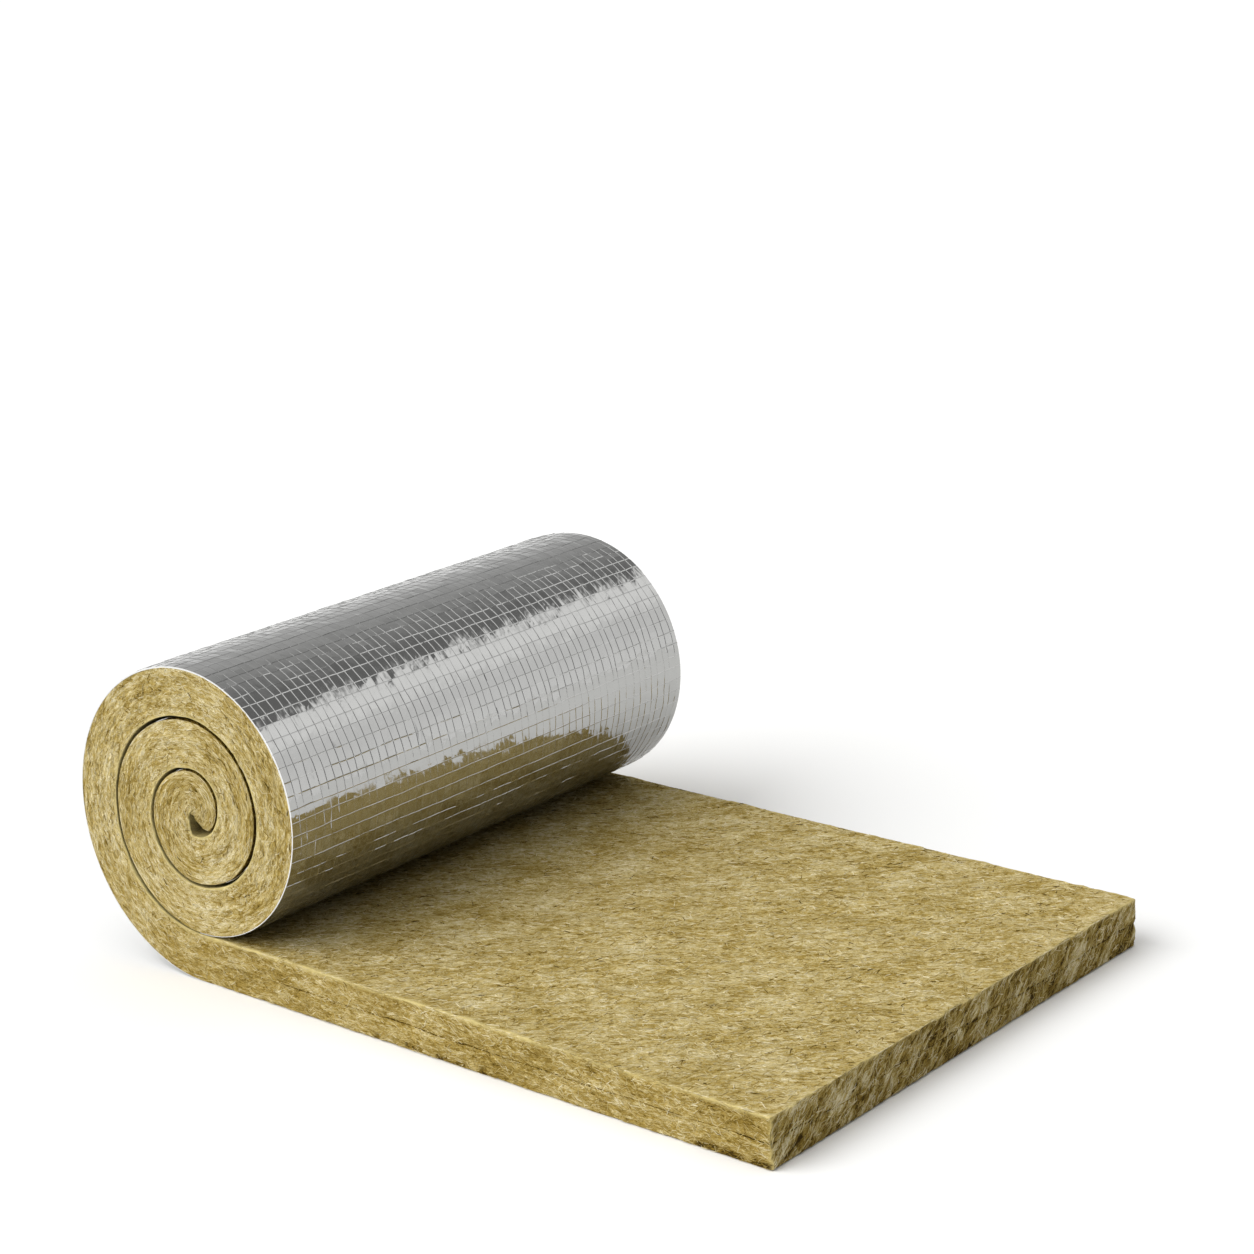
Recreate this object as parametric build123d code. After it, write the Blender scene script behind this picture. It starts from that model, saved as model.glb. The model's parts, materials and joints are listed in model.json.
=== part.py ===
"""Foil-faced mineral wool insulation mat, partly unrolled from its roll.

The mat is one strip of wool with a reinforced foil bonded to its outer face. A flat tail lies on
the floor, foil down, and the rest is wound up into a roll standing on the tail's other end. The
frame has +X along the tail towards the free end, +Y along the roll's axis and +Z up, with the
origin on the floor at the centre of the mat's box. The solids are sections in the XZ plane,
drawn out to both sides of it by half the mat's width.
"""

from build123d import *
import os

# Driving dimensions, in millimetres and degrees
mat_width = 1000.0  # along the roll's axis
wool_thickness = 83.4
foil_thickness = 0.6  # over the threads and the glue of the reinforced foil
turn_gap = 2.0  # air between the foil of one turn and the wool of the turn around it
roll_height = 540.0  # from the floor to the crown of the outermost turn
tail_length = 1155.0  # flat run, from the foot of the roll to the free end
tongue_sweep = 140.0  # how far the squeezed inner end follows the core, in degrees
crease_sweep = 165.0  # where the inner end folds off the wool face, in degrees of its half turn

# Sizes that follow from them
mat_thickness = foil_thickness + wool_thickness
pitch = mat_thickness + turn_gap
roll_radius = roll_height / 2
foot_x = (roll_radius - tail_length) / 2  # foot of the roll, so that the box is centred on x = 0
end_x = foot_x + tail_length

HALF_TURN = 180.0
START_ANGLES = (270.0, 90.0)  # an even half turn starts at its bottom, an odd one at its top

# The roll is a spiral of half turns about two centres, half a pitch apart. Each half turn is
# half a pitch smaller in radius than the one before it, until the wool has no room to bend.
full_half_turns = int((roll_radius - mat_thickness) / (pitch / 2)) + 1


def spiral_point(half_turn, depth, sweep):
    """The point at an angle into a half turn, at a depth below the outer face of the foil."""
    odd = half_turn % 2
    centre = Vector(foot_x, roll_radius + odd * pitch / 2)
    radius = roll_radius - half_turn * pitch / 2 - depth
    return centre + Vector(radius, 0).rotate(Axis.Z, START_ANGLES[odd] - sweep)


def spiral_arc(half_turn, depth, sweep=HALF_TURN):
    """The arc of one half turn at a depth below the foil's outer face, from its start inwards."""
    return ThreePointArc(
        spiral_point(half_turn, depth, 0),
        spiral_point(half_turn, depth, sweep / 2),
        spiral_point(half_turn, depth, sweep),
    )


def tail_line(depth):
    """The straight run of the tail at a depth below the foil's outer face."""
    return Line((foot_x, depth), (end_x, depth))


def free_end(low, high):
    """The square cut of the free end between two depths."""
    return Line((end_x, low), (end_x, high))


def winding(depth):
    """The tail and all the whole half turns at a depth below the foil's outer face."""
    return [tail_line(depth)] + [spiral_arc(k, depth) for k in range(full_half_turns)]


def tongue_arc(depth):
    """The foil side of the mat's inner end, squeezed into the core of the roll."""
    return spiral_arc(full_half_turns, depth, tongue_sweep)


def wool_mat():
    """The wool strip: its foil side, the squeezed inner end, its bare side and the free end."""
    last = full_half_turns - 1
    foil_side = winding(foil_thickness) + [tongue_arc(foil_thickness)]
    inner_end = Line(
        spiral_point(full_half_turns, foil_thickness, tongue_sweep),
        spiral_point(last, mat_thickness, crease_sweep),
    )
    bare_side = winding(mat_thickness)[:-1] + [spiral_arc(last, mat_thickness, crease_sweep)]
    return foil_side + [inner_end] + bare_side + [free_end(foil_thickness, mat_thickness)]


def foil_facing():
    """The foil strip, bonded to the wool's outer face from the free end to the inner end."""
    inner_end = Line(
        spiral_point(full_half_turns, 0, tongue_sweep),
        spiral_point(full_half_turns, foil_thickness, tongue_sweep),
    )
    outer_face = winding(0) + [tongue_arc(0)]
    bonded_face = winding(foil_thickness) + [tongue_arc(foil_thickness)]
    return outer_face + [inner_end] + bonded_face + [free_end(0, foil_thickness)]


def drawn_out(outline):
    """A section of the mat, drawn out along the roll's axis to the mat's width."""
    section = make_face(Wire(outline))
    return extrude(Plane.XZ * section, amount=mat_width / 2, both=True)


os.makedirs("parts", exist_ok=True)
for name, outline in (("wool_mat", wool_mat()), ("foil_facing", foil_facing())):
    solid = drawn_out(outline)
    export_step(solid, f"parts/{name}.step")
    print(name, round(solid.volume / mat_width), "mm2 of section")
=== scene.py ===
"""Insulation roll: a foil-faced mineral wool mat, partly unrolled, dressed around its solids."""

import json
import math

import bpy
import numpy as np
from mathutils import Matrix, Vector


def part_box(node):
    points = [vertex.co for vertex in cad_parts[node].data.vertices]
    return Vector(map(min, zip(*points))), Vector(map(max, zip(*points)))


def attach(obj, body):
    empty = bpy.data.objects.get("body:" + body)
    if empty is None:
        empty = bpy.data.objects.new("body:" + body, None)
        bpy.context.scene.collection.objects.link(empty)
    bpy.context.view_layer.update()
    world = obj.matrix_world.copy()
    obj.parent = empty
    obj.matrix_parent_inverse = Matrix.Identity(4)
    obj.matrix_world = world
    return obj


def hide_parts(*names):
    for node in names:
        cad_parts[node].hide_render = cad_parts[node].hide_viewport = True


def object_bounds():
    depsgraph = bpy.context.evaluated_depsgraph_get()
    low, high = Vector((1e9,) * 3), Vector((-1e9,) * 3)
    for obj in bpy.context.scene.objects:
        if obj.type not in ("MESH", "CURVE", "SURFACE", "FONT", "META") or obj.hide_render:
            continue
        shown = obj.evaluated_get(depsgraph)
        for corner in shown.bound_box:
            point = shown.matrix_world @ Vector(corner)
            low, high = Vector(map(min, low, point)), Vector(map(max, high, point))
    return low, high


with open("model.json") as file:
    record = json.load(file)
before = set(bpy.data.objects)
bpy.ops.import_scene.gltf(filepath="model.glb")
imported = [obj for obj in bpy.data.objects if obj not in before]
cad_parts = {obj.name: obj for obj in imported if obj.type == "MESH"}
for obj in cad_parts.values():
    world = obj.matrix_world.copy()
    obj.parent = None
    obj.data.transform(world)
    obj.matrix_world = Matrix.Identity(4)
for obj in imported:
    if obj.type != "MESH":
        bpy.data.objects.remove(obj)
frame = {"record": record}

cad_low, cad_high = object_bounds()

# Wool mat: one strip of mineral wool, felted in layers with a binder and cut square at its ends.
# A flat tail of it lies on the floor, bare side up, and the rest is wound up into the roll.
wool_low, wool_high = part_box("wool_mat")
foil_low, foil_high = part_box("foil_facing")
flat_faces = {mount["name"]: mount["pos_m"] for mount in frame["record"]["mounts"]}
MAT_WIDTH = wool_high.y - wool_low.y
FOIL_THICKNESS = wool_low.z - foil_low.z
MAT_THICKNESS = 2 * flat_faces["free_end"][2] - FOIL_THICKNESS
ROLL_RADIUS = foil_high.z / 2
END_X = foil_high.x
FOOT_X = ROLL_RADIUS - END_X
HALF_WIDTH = MAT_WIDTH / 2
TAIL_LENGTH = END_X - FOOT_X
TURN_GAP = 0.002
PITCH = MAT_THICKNESS + TURN_GAP
HALF_TURNS = int((ROLL_RADIUS - MAT_THICKNESS) / (PITCH / 2)) + 1
CREASE_SWEEP = math.radians(165)
TONGUE_SWEEP = math.radians(140)
TONGUE_MID_SHARE = 0.6

turn_radii = [ROLL_RADIUS - turn * PITCH / 2 for turn in range(HALF_TURNS + 1)]
mid_radii = [radius - MAT_THICKNESS / 2 for radius in turn_radii[:-1]]
mid_radii.append(turn_radii[-1] * TONGUE_MID_SHARE)
turn_starts = TAIL_LENGTH + np.concatenate([[0.0], np.cumsum(mid_radii[:-1])]) * math.pi
core_start = turn_starts[-2]
crease_start = core_start + CREASE_SWEEP * mid_radii[-2]
MAT_LENGTH = turn_starts[-1] + TONGUE_SWEEP * mid_radii[-1]
INNER_START = turn_starts[2]
LATTICE = 128


def lumps(first, second, seed):
    """Smooth random heights from -1 to 1, about one lump to a unit of each coordinate."""
    heights = np.random.default_rng(seed).uniform(-1, 1, (LATTICE, LATTICE))
    column, row = np.floor(first).astype(int), np.floor(second).astype(int)
    x, y = first - column, second - row
    x, y = x * x * (3 - 2 * x), y * y * (3 - 2 * y)
    column, row = column % (LATTICE - 1), row % (LATTICE - 1)
    low = heights[column, row] * (1 - x) + heights[column + 1, row] * x
    high = heights[column, row + 1] * (1 - x) + heights[column + 1, row + 1] * x
    return low * (1 - y) + high * y


def swells(first, second, height, long, wide, seed, shift=0):
    """Lumps of a height, so long and so wide, from a seed of their own."""
    return height * lumps(first / long + shift, second / wide, seed)


def ease(value, start, end):
    """A smooth step from 0 at start to 1 at end."""
    share = np.clip((value - start) / (end - start), 0, 1)
    return share * share * (3 - 2 * share)


def ways(place):
    """The parts of mat places: length from the free end, way across, depth under the foil's face."""
    return place[..., 0], place[..., 1], place[..., 2]


def turn_centre(turn):
    """The centre of a half turn, in X and Z: the odd ones stand half a pitch higher."""
    return np.array([FOOT_X, ROLL_RADIUS + (turn % 2) * PITCH / 2])


def turn_heading(turn, sweep):
    """The outward direction at an angle into a half turn, which winds on from its start."""
    angle = math.pi * (1.5 - turn % 2) - sweep
    return np.stack([np.cos(angle), np.sin(angle)], -1)


CREASE_BITE, BITE_REACH, CORE_BULGE = 0.012, 0.04, 0.004
TURN_SLACK, SLACK_REACH, FOOT_HOLD = 0.0013, 0.08, 0.02
UNEVEN_SLACK = (0.4, 0.03, 0.03, 42)
END_SKEW, SKEW_REACH = 0.024, 0.6
last_turn = HALF_TURNS - 1
crease = turn_centre(last_turn) + turn_heading(last_turn, CREASE_SWEEP) * (
    turn_radii[last_turn] - MAT_THICKNESS + CREASE_BITE
)


def mat_point(place):
    """Points in space from mat places.

    The free end is cut a little out of square, and the turns lie loosely in one another.
    """
    along, across, depth = (np.asarray(way, float) for way in ways(place))
    share = depth / MAT_THICKNESS
    slack = TURN_SLACK * (1 + swells(along, across, *UNEVEN_SLACK))
    depth = depth + slack * (1 - share) * ease(along, INNER_START, INNER_START + SLACK_REACH)
    depth = depth - slack * share * ease(along - FOOT_HOLD, TAIL_LENGTH, TAIL_LENGTH + SLACK_REACH)
    skew = END_SKEW * across / MAT_WIDTH * (1 - ease(along, 0, SKEW_REACH))
    foil_side = np.stack([END_X - along + skew, np.zeros_like(along)], -1)
    bare_side = foil_side + np.array([0.0, MAT_THICKNESS])
    for turn, radius in enumerate(turn_radii):
        wound = along > turn_starts[turn]
        outward = turn_heading(turn, (along[wound] - turn_starts[turn]) / mid_radii[turn])
        bite = CREASE_BITE * ease(along[wound], crease_start - BITE_REACH, crease_start)
        core_share = np.clip((along[wound] - core_start) / (crease_start - core_start), 0, 1)
        bulge = CORE_BULGE * np.sin(math.pi * core_share) ** 2
        foil_side[wound] = turn_centre(turn) + radius * outward
        bare_side[wound] = turn_centre(turn) + (radius - MAT_THICKNESS + bite - bulge)[:, None] * outward
    bare_side[along > crease_start] = crease
    flat = foil_side + (bare_side - foil_side) * (depth / MAT_THICKNESS)[..., None]
    return np.stack([flat[..., 0], across, flat[..., 1]], -1)


SEAM_SHARE, SEAM_WIDTH, SEAM_MARK = 0.48, 0.0020, 10.0
SEAM_WANDER = (0.004, 0.09, 0.09, 23)
CLOSED_LUMPS, CLOSED_STEP, CLOSED_SHARE = (1, 0.12, 0.12, 24), (-0.2, 0.5), 1.2
ROLL_CLOSED_SHARE, ROLL_CLOSED_REACH = 6, 0.3


def off_seam(place):
    """How many seam widths a place is off the seam between the mat's two layers, which comes and goes."""
    along, across, depth = ways(place)
    wander = swells(along, across, *SEAM_WANDER)
    closed = 1 + CLOSED_SHARE * ease(swells(along, across, *CLOSED_LUMPS), *CLOSED_STEP)
    closed = closed + ROLL_CLOSED_SHARE * ease(along, TAIL_LENGTH - ROLL_CLOSED_REACH, TAIL_LENGTH)
    return (depth - SEAM_SHARE * MAT_THICKNESS - wander) / SEAM_WIDTH * closed


def seam_groove(place):
    """1 in the middle of the seam, and less to both sides of it."""
    return np.exp(-(off_seam(place) / 2) ** 2)


TEAR_LENGTH, TEAR_DEPTH, TEAR_TONE = 0.022, 0.004, -0.32
TEAR_ROW, TEAR_SEED, TEAR_STEP = 9, 25, (0.35, 0.75)
TEAR_TOP, TEAR_FOOT, TEAR_FADE = 0.016, 0.005, 0.2


def torn(place):
    """Small tears along the foil edge of the tail's sides: 1 where a tuft of wool has come away."""
    along, across, depth = ways(place)
    spots = ease(lumps(along / TEAR_LENGTH, TEAR_ROW * np.sign(across), TEAR_SEED), *TEAR_STEP)
    return spots * ease(depth, TEAR_TOP, TEAR_FOOT) * ease(along, TAIL_LENGTH, TAIL_LENGTH - TEAR_FADE)


# A lay is where a place lies in the felt's pattern: along the fibres, across them and the number of
# its face, then its tone, and its way off the seam, raised by a mark that tells a cut face.
STREAK_ANGLE = math.radians(39)
STREAK_BEND = (0.009, 0.075, 0.050, 14)
# Painted shade: the wound wool is painted dark where it shows only down the gaps between the turns, and
# darker still in the core.
GAP_SHADE_TONE, GAP_SHADE_REACH = -0.50, 0.04
CORE_SHADE_TONE, CORE_SHADE_LEAD, CORE_SHADE_REACH = -0.42, 0.03, 0.02


def bare_lay(place):
    """Bare face: along and across its slantwise streaks, with painted shade that darkens it in the gaps
    between the turns and in the core.
    """
    along, across, _ = ways(place)
    run = across * math.sin(STREAK_ANGLE) - along * math.cos(STREAK_ANGLE)
    over = across * math.cos(STREAK_ANGLE) + along * math.sin(STREAK_ANGLE)
    over = over + swells(run, over, *STREAK_BEND)
    tone = GAP_SHADE_TONE * ease(along, TAIL_LENGTH, TAIL_LENGTH + GAP_SHADE_REACH)
    tone = tone + (CORE_SHADE_TONE - GAP_SHADE_TONE) * ease(along, core_start - CORE_SHADE_LEAD, core_start + CORE_SHADE_REACH)
    return np.stack([run, over, 0 * run, tone, 0 * run], -1)


# Painted shade: the cut sides are painted darker along the tail than round the roll.
TAIL_SIDE_SHADE_TONE, ROLL_SIDE_TONE, TAIL_CUT_SHARE = -0.12, 0.018, 0.58
FADE_BEFORE_FOOT, FADE_PAST_FOOT = 0.1, 0.3


def wound_share(along):
    """0 along the tail and 1 round the roll."""
    return ease(along, TAIL_LENGTH - FADE_BEFORE_FOOT, TAIL_LENGTH + FADE_PAST_FOOT)


def side_lay(place):
    """Cut sides: along the felted layers and through them.

    The face number is less than 1 along the tail, where the marks of the cut are fainter, and the tone is
    darker there as painted shade.
    """
    along, across, depth = ways(place)
    wound = wound_share(along)
    tone = TAIL_SIDE_SHADE_TONE + (ROLL_SIDE_TONE - TAIL_SIDE_SHADE_TONE) * wound + TEAR_TONE * torn(place)
    face = np.sign(across) * (TAIL_CUT_SHARE + (1 - TAIL_CUT_SHARE) * wound)
    return np.stack([along, depth, face, tone, SEAM_MARK + off_seam(place)], -1)


END_STREAK_ANGLE = math.radians(42)
# The free end's darker tone is partly its end grain and partly painted shade on a face turned from the light.
END_GRAIN_AND_SHADE_TONE, END_FACE = -0.17, 1.6


def end_lay(place):
    """Free end: the cut drags its fibres up and over, so the streaks climb steeply."""
    along, across, depth = ways(place)
    run = across * math.cos(END_STREAK_ANGLE) + depth * math.sin(END_STREAK_ANGLE)
    over = depth * math.cos(END_STREAK_ANGLE) - across * math.sin(END_STREAK_ANGLE)
    # The inner end, in the core, takes the painted shade of the gaps.
    tone = np.where(along > TAIL_LENGTH, GAP_SHADE_TONE, END_GRAIN_AND_SHADE_TONE)
    return np.stack([run, over, 0 * run + END_FACE, tone, SEAM_MARK + off_seam(place)], -1)


HUMPS, TUFTS, FINE_TUFTS = (0.0020, 0.15, 0.11, 11), (0.0014, 0.050, 0.019, 12), (0.0008, 0.020, 0.009, 13)
PRESSED_SHARE, PRESS_START, PRESS_END = 0.15, 0.005, 0.09


def bare_heights(place):
    """How far the bare face stands proud: soft humps with tufts, and flat where the roll lies on it."""
    lay = bare_lay(place)
    run, over = lay[..., 0], lay[..., 1]
    raised = sum(swells(run, over, *kind) for kind in (HUMPS, TUFTS, FINE_TUFTS))
    free = ease(TAIL_LENGTH - place[..., 0], PRESS_START, PRESS_END)
    return raised * (PRESSED_SHARE + (1 - PRESSED_SHARE) * free)


SIDE_LAYERS, SIDE_TUFTS, SIDE_SHIFT = (0.0014, 0.080, 0.014, 21), (0.0012, 0.024, 0.007, 22), 100
SIDE_GROOVE = 0.0016
HELD_START, HELD_END = 0.001, 0.006


def held(depth):
    """0 at the foil, whose glue holds the wool, and 1 a little way off it."""
    return ease(depth, HELD_START, HELD_END)


def side_heights(place):
    """How far a cut side stands proud: layers, tufts, tears, and on the tail a seam at mid-depth."""
    along, across, depth = ways(place)
    shift = SIDE_SHIFT * np.sign(across)
    raised = sum(swells(along, depth, *kind, shift) for kind in (SIDE_LAYERS, SIDE_TUFTS))
    return (raised - SIDE_GROOVE * seam_groove(place) - TEAR_DEPTH * torn(place)) * held(depth)


END_TUFTS, FINE_END_TUFTS = (0.0024, 0.045, 0.014, 31), (0.0014, 0.020, 0.007, 32)
END_GROOVE = 0.0020


def end_heights(place):
    """How far the free end stands proud: tufts that the knife dragged, and the same mid-depth seam."""
    lay = end_lay(place)
    raised = sum(swells(lay[..., 0], lay[..., 1], *kind) for kind in (END_TUFTS, FINE_END_TUFTS))
    return (raised - END_GROOVE * seam_groove(place)) * held(place[..., 2])


EDGE_RADIUS, WOUND_EDGE_RADIUS, ROUND_REACH = 0.0030, 0.0016, 0.05
RAGGED, FINE_RAGGED = (0.45, 0.035, 0.035, 41), (0.4, 0.012, 0.012, 43)
TONGUE_BULGE = 0.006
HAIR = 1e-7


def soft_edges(place):
    """Mat places moved to round off all the edges but those that the foil covers around the roll."""
    along, across, _ = ways(place)
    wound = ease(along, TAIL_LENGTH - ROUND_REACH, TAIL_LENGTH + ROUND_REACH)
    radius = EDGE_RADIUS + (WOUND_EDGE_RADIUS - EDGE_RADIUS) * wound
    radius = radius * (1 + swells(along, across, *RAGGED) + swells(along, across, *FINE_RAGGED))
    covered = wound * (1 - ease(along, INNER_START, INNER_START + ROUND_REACH))
    foil_side = FOIL_THICKNESS + radius * (1 - covered)
    low = np.stack([radius, radius - HALF_WIDTH, foil_side], -1)
    high = np.stack([np.full_like(radius, MAT_LENGTH), HALF_WIDTH - radius, MAT_THICKNESS - radius], -1)
    core = np.clip(place, low, high)
    out = place - core
    reach = np.linalg.norm(out, axis=-1)
    share = np.where(reach > radius, radius / np.maximum(reach, HAIR), 1.0)
    return core + out * share[..., None]


def wool_place(place):
    """Mat places of the wool's skin, from plain places on the strip: rounded, then tufted."""
    along, across, depth = ways(place)
    tongue = TONGUE_BULGE * np.sin(math.pi * depth / MAT_THICKNESS)
    moved = soft_edges(place)
    moved[..., 2] += np.where(depth > MAT_THICKNESS - HAIR, bare_heights(place), 0)
    moved[..., 1] += np.where(np.abs(across) > HALF_WIDTH - HAIR, np.sign(across) * side_heights(place), 0)
    moved[..., 0] -= np.where(along < HAIR, end_heights(place), 0)
    moved[..., 0] += np.where(along > MAT_LENGTH - HAIR, tongue, 0)
    return moved


SOFT_SHARES = np.array([0, 0.35, 0.7])


def ruled(length, step):
    """Lines over a length about a step apart, with two more close to each end for the soft edge."""
    near = SOFT_SHARES * EDGE_RADIUS
    inner = np.linspace(EDGE_RADIUS, length - EDGE_RADIUS, round((length - 2 * EDGE_RADIUS) / step) + 1)
    return np.concatenate([near, inner, length - near[::-1]])


def grid(along, across, depth):
    """A grid of mat places. Two of the three are lists of lines, and the third is one number."""
    lists = [np.atleast_1d(v) for v in (along, across, depth)]
    full = np.stack(np.meshgrid(*lists, indexing="ij"), -1)
    return full.reshape([len(v) for v in lists if len(v) > 1] + [3])


def quads(places, lay, turned=False):
    """The faces of a grid as rows of corners, each with its mat place and its lay.

    The mat's length runs towards -X, so a grid is reversed to face out unless it is turned.
    """
    full = np.concatenate([places, lay(places)], -1)
    corners = np.stack([full[:-1, :-1], full[1:, :-1], full[1:, 1:], full[:-1, 1:]], 2)
    corners = corners.reshape(-1, 4, full.shape[-1])
    return corners if turned else corners[:, ::-1]


def zipped(first, second, lay, turned=False):
    """Triangles between two lines of mat places with different numbers of points."""
    share_a, share_b = np.linspace(0, 1, len(first)), np.linspace(0, 1, len(second))
    faces, a, b = [], 0, 0
    while a + 1 < len(first) or b + 1 < len(second):
        step_a = b + 1 == len(second) or (a + 1 < len(first) and share_a[a + 1] <= share_b[b + 1])
        faces.append([first[a], first[a + 1] if step_a else second[b + 1], second[b]])
        a, b = a + step_a, b + (not step_a)
    full = np.array(faces)
    full = np.concatenate([full, lay(full)], -1)
    return full[:, ::-1] if turned else full


RIM_HIGHLIGHT_REACH, END_RIM_HIGHLIGHT_REACH, END_RIM_HIGHLIGHT_SHARE = 0.0042, 0.0032, 0.6


def rim_highlight_share(place):
    """How close a place is to an edge, for a painted highlight: 1 on the bare face's long edges, and less on
    the end's edges.
    """
    along, across, depth = ways(place)
    off_side, off_bare = HALF_WIDTH - np.abs(across), MAT_THICKNESS - depth
    long_rim_highlight = np.exp(-(np.maximum(off_side, off_bare) / RIM_HIGHLIGHT_REACH) ** 2)
    off_end_rim = np.maximum(along, np.minimum(off_side, off_bare))
    return np.maximum(long_rim_highlight, END_RIM_HIGHLIGHT_SHARE * np.exp(-(off_end_rim / END_RIM_HIGHLIGHT_REACH) ** 2))


WELD_STEPS, WELD_BITS = 10**6, 21


def all_corners(patches):
    """The corners of all the faces of some patches, one after the other."""
    return np.concatenate([faces.reshape(-1, faces.shape[-1]) for faces in patches])


def sewn_mesh(name, patches, shape):
    """One mesh from patches of faces, welded where their plain mat places meet, then shaped."""
    corners = all_corners(patches)
    sizes = np.concatenate([[faces.shape[1]] * len(faces) for faces in patches])
    places = corners[:, :3]
    at = np.round(places * WELD_STEPS).astype(np.int64) + WELD_STEPS
    keys = (at[:, 0] << 2 * WELD_BITS) + (at[:, 1] << WELD_BITS) + at[:, 2]
    _, first, ids = np.unique(keys, return_index=True, return_inverse=True)
    points = mat_point(shape(places[first]))
    mesh = bpy.data.meshes.new(name)
    ends = np.cumsum(sizes)
    mesh.from_pydata(points.tolist(), [], [ids[e - s:e].tolist() for s, e in zip(sizes, ends)])
    lay = mesh.attributes.new("lay", "FLOAT_VECTOR", "CORNER")
    lay.data.foreach_set("vector", corners[:, 3:6].astype(np.float32).ravel())
    for label, column in (("tone", 6), ("seam", 7)):
        values = mesh.attributes.new(label, "FLOAT", "CORNER")
        values.data.foreach_set("value", corners[:, column].astype(np.float32))
    # Nearness to the edges, which the wool finish paints paler as a highlight.
    rim_highlight = mesh.attributes.new("rim_highlight", "FLOAT", "POINT")
    rim_highlight.data.foreach_set("value", rim_highlight_share(places[first]).astype(np.float32))
    mesh.shade_smooth()
    return mesh


def piece(name, mesh, finish, slot, *nodes):
    """A piece of the object: it rides on the one body and stands for the named solids."""
    made = bpy.data.objects.new(name, mesh)
    bpy.context.scene.collection.objects.link(made)
    mesh.materials.append(finish)
    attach(made, "root")
    if nodes:
        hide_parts(*nodes)


TAIL_STEP, ROLL_STEP, DEPTH_STEP = 0.0047, 0.0075, 0.0045
COARSE_COLUMNS, EDGE_COLUMNS, END_ROWS = 11, 4, 4
tail_rows = ruled(TAIL_LENGTH + EDGE_RADIUS, TAIL_STEP)
tail_rows = np.append(tail_rows[tail_rows < TAIL_LENGTH - TAIL_STEP / 2], TAIL_LENGTH)
roll_rows = np.linspace(TAIL_LENGTH, MAT_LENGTH, round((MAT_LENGTH - TAIL_LENGTH) / ROLL_STEP) + 1)
all_rows = np.append(tail_rows, roll_rows[1:])
fine_columns = ruled(MAT_WIDTH, TAIL_STEP) - HALF_WIDTH
inner_columns = np.linspace(-HALF_WIDTH, HALF_WIDTH, COARSE_COLUMNS)[1:-1]
coarse_columns = np.concatenate([fine_columns[:EDGE_COLUMNS], inner_columns, fine_columns[-EDGE_COLUMNS:]])
depths = ruled(MAT_THICKNESS - FOIL_THICKNESS, DEPTH_STEP) + FOIL_THICKNESS


def thinned(rows, depth, turned):
    """Triangles from fine columns on one row to coarse columns on the next."""
    fine, coarse = grid(rows, fine_columns, depth)[0], grid(rows, coarse_columns, depth)[1]
    return zipped(fine, coarse, bare_lay, turned)


wool_patches = [
    quads(grid(tail_rows, fine_columns, MAT_THICKNESS), bare_lay),
    quads(grid(roll_rows[1:], coarse_columns, MAT_THICKNESS), bare_lay),
    thinned(roll_rows[:2], MAT_THICKNESS, turned=False),
    quads(grid(all_rows[:END_ROWS], fine_columns, FOIL_THICKNESS), bare_lay, turned=True),
    thinned(all_rows[END_ROWS - 1:END_ROWS + 1], FOIL_THICKNESS, turned=True),
    quads(grid(all_rows[END_ROWS:], coarse_columns, FOIL_THICKNESS), bare_lay, turned=True),
    quads(grid(all_rows, -HALF_WIDTH, depths), side_lay),
    quads(grid(all_rows, HALF_WIDTH, depths), side_lay, turned=True),
    quads(grid(0.0, fine_columns, depths), end_lay, turned=True),
    quads(grid(MAT_LENGTH, coarse_columns, depths), end_lay),
]
wool_mesh = sewn_mesh("wool_mat_skin", wool_patches, wool_place)


def feed(tree, node, inputs):
    """Sets the inputs of a node, or links them to the outputs of others."""
    for key, value in inputs.items():
        if isinstance(value, bpy.types.NodeSocket):
            tree.links.new(value, node.inputs[key])
        else:
            node.inputs[key].default_value = value


def shader_tree(tree):
    """A function that adds a node to a shader tree, with its inputs set or linked."""

    def add(kind, inputs=None, **settings):
        node = tree.nodes.new("ShaderNode" + kind)
        for key, value in settings.items():
            setattr(node, key, value)
        feed(tree, node, inputs or {})
        return node

    return add


def material(name):
    """A new material, its Principled BSDF and a function that adds nodes to it."""
    made = bpy.data.materials.new(name)
    made.use_nodes = True
    return made, made.node_tree.nodes["Principled BSDF"], shader_tree(made.node_tree)


def ramp(node, stops):
    """Sets the stops of a colour ramp: places from 0 to 1 with their linear colours."""
    elements = node.color_ramp.elements
    while len(elements) < len(stops):
        elements.new(0.5)
    for element, (place, colour) in zip(elements, stops):
        element.position = place
        element.color = (*colour, 1)
    return node.outputs[0]


def worked(operation, *values, **settings):
    """The value of a Math node in the tree at hand."""
    return add("Math", dict(enumerate(values)), operation=operation, **settings).outputs[0]


def mapped(value, *stops, **settings):
    """A value moved from between two numbers to between two others."""
    return add("MapRange", dict(enumerate((value,) + stops)), **settings).outputs[0]


def mixed(mask, first, second):
    """Two colours mixed by a mask."""
    return add("Mix", {"Factor": mask, 6: first, 7: second}, data_type="RGBA").outputs[2]


def attribute(name, output="Fac"):
    """A value that a mesh carries."""
    return add("Attribute", attribute_name=name).outputs[output]


def weigh(*pairs):
    """The sum of values times their weights, with a plain number or value at the end."""
    total = pairs[-1]
    for value, weight in pairs[:-1]:
        total = worked("MULTIPLY_ADD", value, weight, total)
    return total


def off_middle(value):
    """How far noise stands from its middle value."""
    return worked("SUBTRACT", value, 0.5)


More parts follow.
